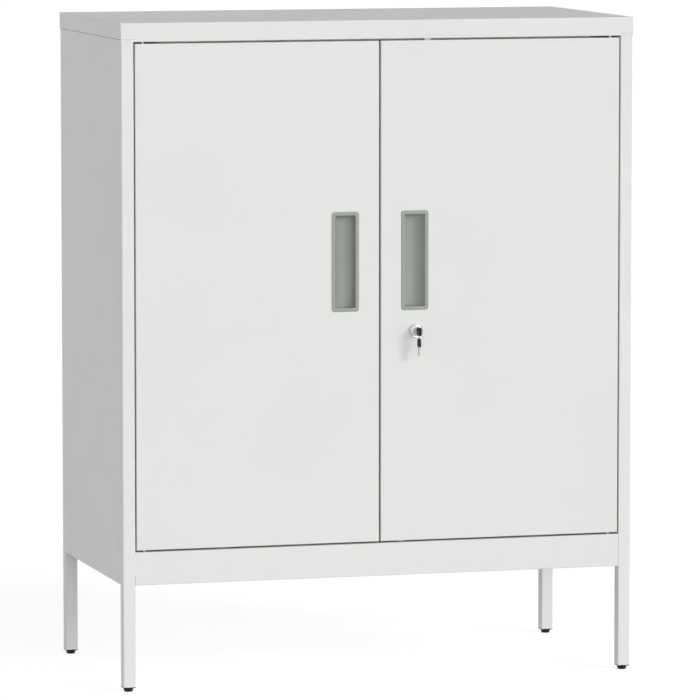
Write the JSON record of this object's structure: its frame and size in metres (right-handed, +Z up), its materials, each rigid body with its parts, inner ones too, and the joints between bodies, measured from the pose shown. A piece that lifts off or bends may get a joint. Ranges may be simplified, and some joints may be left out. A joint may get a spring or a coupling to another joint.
{
  "type": "tool cabinet",
  "caption": "Low steel tool cabinet on square legs with hinged doors, recessed pulls, shelves and a three-point key lock.",
  "frame": {"origin": "on the floor, at the middle of the part's bounding box: midway between the side panels, and midway between the key's outer end and the cap's rear edge", "axes": "+Z up; +X to the right as seen from the front; +Y from the doors towards the back"},
  "size_m": [0.802, 0.429, 1.003],
  "materials": {
    "enamel": "smooth satin powder coat, warm white",
    "zinc_plated_steel": "bright zinc plate",
    "lock_chrome": "polished",
    "key_nickel": "nickel plate",
    "black_plastic": "fine moulded",
    "grey_green_plastic": "satin moulded",
    "nylon": "natural",
    "grey_rubber": "matt"
  },
  "bodies": {
    "cabinet": {"top_cap": "enamel", "left_side_panel": "enamel", "right_side_panel": "enamel", "back_panel": "enamel", "bottom_panel": "enamel", "left_front_shelf_rail": "enamel", "right_front_shelf_rail": "enamel", "left_rear_shelf_rail": "enamel", "right_rear_shelf_rail": "enamel", "upper_shelf": "enamel", "lower_shelf": "enamel", "shelf_clips": "zinc_plated_steel", "frame_screws": "zinc_plated_steel", "front_left_leg": "enamel", "front_right_leg": "enamel", "rear_left_leg": "enamel", "rear_right_leg": "enamel", "leg_brackets": "zinc_plated_steel", "leg_bolts": "zinc_plated_steel", "leg_end_inserts": "black_plastic", "hinge_bushes": "nylon"},
    "left_door": {"left_door_skin": "enamel", "left_door_stiffener": "enamel", "left_handle": "grey_green_plastic", "left_hinge_pins": "zinc_plated_steel", "left_door_bumpers": "grey_rubber"},
    "right_door": {"right_door_skin": "enamel", "right_door_stiffener": "enamel", "right_handle": "grey_green_plastic", "right_hinge_pins": "zinc_plated_steel", "right_door_bumpers": "grey_rubber", "rod_guides": "zinc_plated_steel", "lock_barrel": "lock_chrome", "lock_nut": "zinc_plated_steel"},
    "lock_plug": {"lock_plug": "lock_chrome", "lock_cam": "zinc_plated_steel", "cam_screw": "zinc_plated_steel"},
    "upper_rod": {"upper_rod": "zinc_plated_steel"},
    "lower_rod": {"lower_rod": "zinc_plated_steel"},
    "side_bolt": {"side_bolt": "zinc_plated_steel"},
    "key": {"key_blade": "key_nickel", "key_bow": "black_plastic"},
    "key_ring": {"key_ring": "key_nickel"},
    "spare_key": {"spare_key_blade": "key_nickel", "spare_key_head": "black_plastic"},
    "front_left_foot": {"front_left_foot": "black_plastic"},
    "front_right_foot": {"front_right_foot": "black_plastic"},
    "rear_left_foot": {"rear_left_foot": "black_plastic"},
    "rear_right_foot": {"rear_right_foot": "black_plastic"}
  },
  "joints": [
    {"name": "left_door_hinge", "type": "hinge", "parent": "cabinet", "child": "left_door", "pos_m": [-0.3658, -0.1795, 0.561], "axis": [0, 0, -1], "range_deg": [0, 115]},
    {"name": "right_door_hinge", "type": "hinge", "parent": "cabinet", "child": "right_door", "pos_m": [0.3658, -0.1795, 0.561], "axis": [0, 0, 1], "range_deg": [0, 115]},
    {"name": "lock_turn", "type": "hinge", "parent": "right_door", "child": "lock_plug", "pos_m": [0.056, -0.1865, 0.533], "axis": [0, -1, 0], "range_deg": [0, 90]},
    {"name": "upper_rod_slide", "type": "slide", "parent": "right_door", "child": "upper_rod", "axis": [0, 0, 1], "range_m": [0, 0.0198]},
    {"name": "lower_rod_slide", "type": "slide", "parent": "right_door", "child": "lower_rod", "axis": [0, 0, -1], "range_m": [0, 0.0198]},
    {"name": "side_bolt_slide", "type": "slide", "parent": "right_door", "child": "side_bolt", "axis": [-1, 0, 0], "range_m": [0, 0.0198]},
    {"name": "key_slide", "type": "slide", "parent": "lock_plug", "child": "key", "axis": [0, -1, 0], "range_m": [0, 0.02]},
    {"name": "key_ring_swing", "type": "hinge", "parent": "key", "child": "key_ring", "pos_m": [0.056, -0.2055, 0.533], "axis": [1, 0, 0], "range_deg": [-35, 15]},
    {"name": "spare_key_swing", "type": "hinge", "parent": "key_ring", "child": "spare_key", "pos_m": [0.056, -0.2055, 0.5198], "axis": [1, 0, 0], "range_deg": [-35, 15]},
    {"name": "front_left_foot_height", "type": "slide", "parent": "cabinet", "child": "front_left_foot", "axis": [0, 0, -1], "range_m": [0, 0.01]},
    {"name": "front_right_foot_height", "type": "slide", "parent": "cabinet", "child": "front_right_foot", "axis": [0, 0, -1], "range_m": [0, 0.01]},
    {"name": "rear_left_foot_height", "type": "slide", "parent": "cabinet", "child": "rear_left_foot", "axis": [0, 0, -1], "range_m": [0, 0.01]},
    {"name": "rear_right_foot_height", "type": "slide", "parent": "cabinet", "child": "rear_right_foot", "axis": [0, 0, -1], "range_m": [0, 0.01]}
  ],
  "couplings": [
    {"joint": "upper_rod_slide", "follows": "lock_turn", "m_per_rad": 0.0126},
    {"joint": "lower_rod_slide", "follows": "lock_turn", "m_per_rad": 0.0126},
    {"joint": "side_bolt_slide", "follows": "lock_turn", "m_per_rad": 0.0126}
  ]
}
